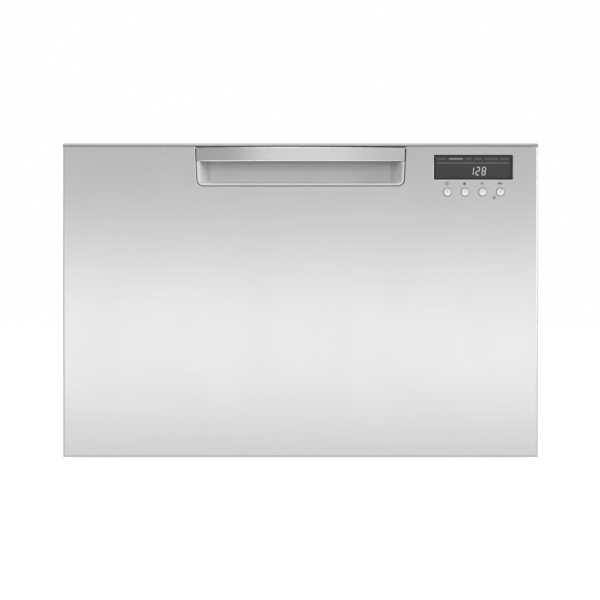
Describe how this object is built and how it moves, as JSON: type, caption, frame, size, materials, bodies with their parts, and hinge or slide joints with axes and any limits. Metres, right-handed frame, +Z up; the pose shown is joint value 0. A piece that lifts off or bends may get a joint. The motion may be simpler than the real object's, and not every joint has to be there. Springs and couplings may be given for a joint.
{
  "type": "dishwasher drawer",
  "caption": "Single-drawer dishwasher for building in: a folded steel front with a recessed grip bar, a small display and round buttons, on a tub that slides from its chassis.",
  "frame": {"origin": "on the floor, under the middle of the overall box", "axes": "+X to the right as seen from the front, +Y to the back, +Z up; the drawer opens toward -Y"},
  "size_m": [0.599, 0.5738, 0.399],
  "materials": {
    "front_steel": "fine brushed, satin",
    "trim_grey": "satin",
    "pocket_grey": "fine satin",
    "bar_steel": "satin",
    "lens_glass": "tinted, glossy",
    "button_metal": "satin",
    "light_guide": "frosted",
    "board": "solder mask",
    "frame_plastic": "moulded",
    "chassis_sheet": "galvanised, dull",
    "bare_zinc": "zinc plated",
    "ball_steel": "polished balls in a pressed cage",
    "foot_rubber": "matt",
    "gasket_rubber": "matt",
    "seal_rubber": "matt",
    "tub_plastic": "moulded, satin",
    "lid_plastic": "moulded, satin",
    "white_nylon": "moulded",
    "black_nylon": "glass filled",
    "bay_plastic": "moulded",
    "filter_steel": "perforated",
    "arm_plastic": "moulded, satin",
    "wire_coat": "nylon coated wire",
    "basket_plastic": "moulded",
    "motor_metal": "cast"
  },
  "bodies": {
    "chassis": {"chassis_side_left": "chassis_sheet", "chassis_side_right": "chassis_sheet", "chassis_back": "chassis_sheet", "base_pan": "chassis_sheet", "levelling_feet": "foot_rubber", "brace_front": "chassis_sheet", "brace_rear": "chassis_sheet", "edge_gasket": "gasket_rubber", "service_bay": "bay_plastic", "water_valve": "white_nylon", "drain_spigot": "black_nylon", "mains_box": "black_nylon", "runner_outer_left": "bare_zinc", "runner_outer_right": "bare_zinc", "lid_actuator_left": "black_nylon", "lid_actuator_right": "black_nylon", "link_mount": "bare_zinc"},
    "drawer": {"front_skin": "front_steel", "top_trim": "trim_grey", "front_frame": "frame_plastic", "handle_pocket": "pocket_grey", "handle_bar": "bar_steel", "display_lens": "lens_glass", "control_board": "board", "button_carrier": "frame_plastic", "status_light": "light_guide", "runner_inner_left": "bare_zinc", "runner_inner_right": "bare_zinc", "tub": "tub_plastic", "tub_brackets": "bare_zinc", "filter_plate": "filter_steel", "wash_motor": "motor_metal", "dispenser": "tub_plastic", "dish_rack": "wire_coat", "cutlery_basket": "basket_plastic", "link_anchor": "black_nylon"},
    "runner_middles": {"runner_middle_left": "bare_zinc", "runner_middle_right": "bare_zinc"},
    "outer_cages": {"outer_ball_cages": "ball_steel"},
    "inner_cages": {"inner_ball_cages": "ball_steel"},
    "lid": {"lid_panel": "lid_plastic", "lid_seal": "seal_rubber"},
    "pinion_left": {"lid_pinion_left": "white_nylon"},
    "pinion_right": {"lid_pinion_right": "white_nylon"},
    "link_near": {"link_arm_chassis": "black_nylon"},
    "link_far": {"link_arm_tub": "black_nylon"},
    "float": {"flood_float": "white_nylon"},
    "button_power": {"power_button": "button_metal"},
    "button_lock": {"lock_button": "button_metal"},
    "button_program": {"program_button": "button_metal"},
    "button_start": {"start_button": "button_metal"},
    "spray": {"spray_arm": "arm_plastic"},
    "rotor": {"wash_rotor": "motor_metal"},
    "detergent_flap": {"dispenser_door": "arm_plastic"},
    "rinse_plug": {"rinse_cap": "arm_plastic"},
    "filter": {"drain_filter": "basket_plastic"},
    "tines_front": {"tine_row_front": "wire_coat"},
    "tines_rear": {"tine_row_rear": "wire_coat"},
    "cups_left": {"cup_rack_left": "basket_plastic"},
    "cups_right": {"cup_rack_right": "basket_plastic"}
  },
  "joints": [
    {"name": "drawer_slide", "type": "slide", "parent": "chassis", "child": "drawer", "axis": [0, -1, 0], "range_m": [0, 0.5]},
    {"name": "runner_middle_slide", "type": "slide", "parent": "chassis", "child": "runner_middles", "axis": [0, -1, 0], "range_m": [0, 0.25]},
    {"name": "outer_cage_slide", "type": "slide", "parent": "chassis", "child": "outer_cages", "axis": [0, -1, 0], "range_m": [0, 0.125]},
    {"name": "inner_cage_slide", "type": "slide", "parent": "chassis", "child": "inner_cages", "axis": [0, -1, 0], "range_m": [0, 0.375]},
    {"name": "lid_lift", "type": "slide", "parent": "chassis", "child": "lid", "axis": [0, 0, 1], "range_m": [0, 0.012]},
    {"name": "pinion_turn_left", "type": "hinge", "parent": "chassis", "child": "pinion_left", "pos_m": [-0.2801, 0.0589, 0.363], "axis": [-1, 0, 0], "range_deg": [0, 90]},
    {"name": "pinion_turn_right", "type": "hinge", "parent": "chassis", "child": "pinion_right", "pos_m": [0.2801, 0.0589, 0.363], "axis": [-1, 0, 0], "range_deg": [0, 90]},
    {"name": "link_pivot", "type": "hinge", "parent": "chassis", "child": "link_near", "pos_m": [-0.235, 0.2549, 0.159], "axis": [0, 0, -1], "range_deg": [0, 33]},
    {"name": "link_elbow", "type": "hinge", "parent": "link_near", "child": "link_far", "pos_m": [0.235, 0.2549, 0.179], "axis": [0, 0, 1], "range_deg": [0, 66]},
    {"name": "float_rise", "type": "slide", "parent": "chassis", "child": "float", "axis": [0, 0, 1], "range_m": [0, 0.005]},
    {"name": "press_power", "type": "slide", "parent": "drawer", "child": "button_power", "axis": [0, 1, 0], "range_m": [0, 0.0012], "stiffness_N_per_m": 300},
    {"name": "press_lock", "type": "slide", "parent": "drawer", "child": "button_lock", "axis": [0, 1, 0], "range_m": [0, 0.0012], "stiffness_N_per_m": 300},
    {"name": "press_program", "type": "slide", "parent": "drawer", "child": "button_program", "axis": [0, 1, 0], "range_m": [0, 0.0012], "stiffness_N_per_m": 300},
    {"name": "press_start", "type": "slide", "parent": "drawer", "child": "button_start", "axis": [0, 1, 0], "range_m": [0, 0.0012], "stiffness_N_per_m": 300},
    {"name": "spray_spin", "type": "hinge", "parent": "drawer", "child": "spray", "pos_m": [0, -0.0111, 0.1], "axis": [0, 0, 1], "continuous": true},
    {"name": "rotor_spin", "type": "hinge", "parent": "drawer", "child": "rotor", "pos_m": [0, -0.0111, 0.04], "axis": [0, 0, 1], "continuous": true},
    {"name": "flap_hinge", "type": "hinge", "parent": "drawer", "child": "detergent_flap", "pos_m": [-0.034, -0.22455, 0.286], "axis": [-1, 0, 0], "range_deg": [0, 95]},
    {"name": "rinse_turn", "type": "hinge", "parent": "drawer", "child": "rinse_plug", "pos_m": [0.044, -0.22655, 0.31], "axis": [0, 1, 0], "range_deg": [0, 90]},
    {"name": "filter_turn", "type": "hinge", "parent": "drawer", "child": "filter", "pos_m": [0.036, -0.0471, 0.082], "axis": [0, 0, 1], "range_deg": [0, 90]},
    {"name": "tines_front_fold", "type": "hinge", "parent": "drawer", "child": "tines_front", "pos_m": [0, -0.0611, 0.12015], "axis": [-1, 0, 0], "range_deg": [0, 75]},
    {"name": "tines_rear_fold", "type": "hinge", "parent": "drawer", "child": "tines_rear", "pos_m": [0, 0.0309, 0.12015], "axis": [-1, 0, 0], "range_deg": [0, 75]},
    {"name": "cups_left_fold", "type": "hinge", "parent": "drawer", "child": "cups_left", "pos_m": [-0.2451, -0.0111, 0.24], "axis": [0, -1, 0], "range_deg": [0, 85]},
    {"name": "cups_right_fold", "type": "hinge", "parent": "drawer", "child": "cups_right", "pos_m": [0.2451, -0.0111, 0.24], "axis": [0, 1, 0], "range_deg": [0, 85]}
  ],
  "couplings": [
    {"joint": "runner_middle_slide", "follows": "drawer_slide", "ratio": 0.5},
    {"joint": "outer_cage_slide", "follows": "drawer_slide", "ratio": 0.25},
    {"joint": "inner_cage_slide", "follows": "drawer_slide", "ratio": 0.75},
    {"joint": "link_pivot", "follows": "drawer_slide", "rad_per_m": 1.1217},
    {"joint": "link_elbow", "follows": "drawer_slide", "rad_per_m": 2.2434},
    {"joint": "pinion_turn_left", "follows": "lid_lift", "rad_per_m": 125},
    {"joint": "pinion_turn_right", "follows": "lid_lift", "rad_per_m": 125}
  ]
}
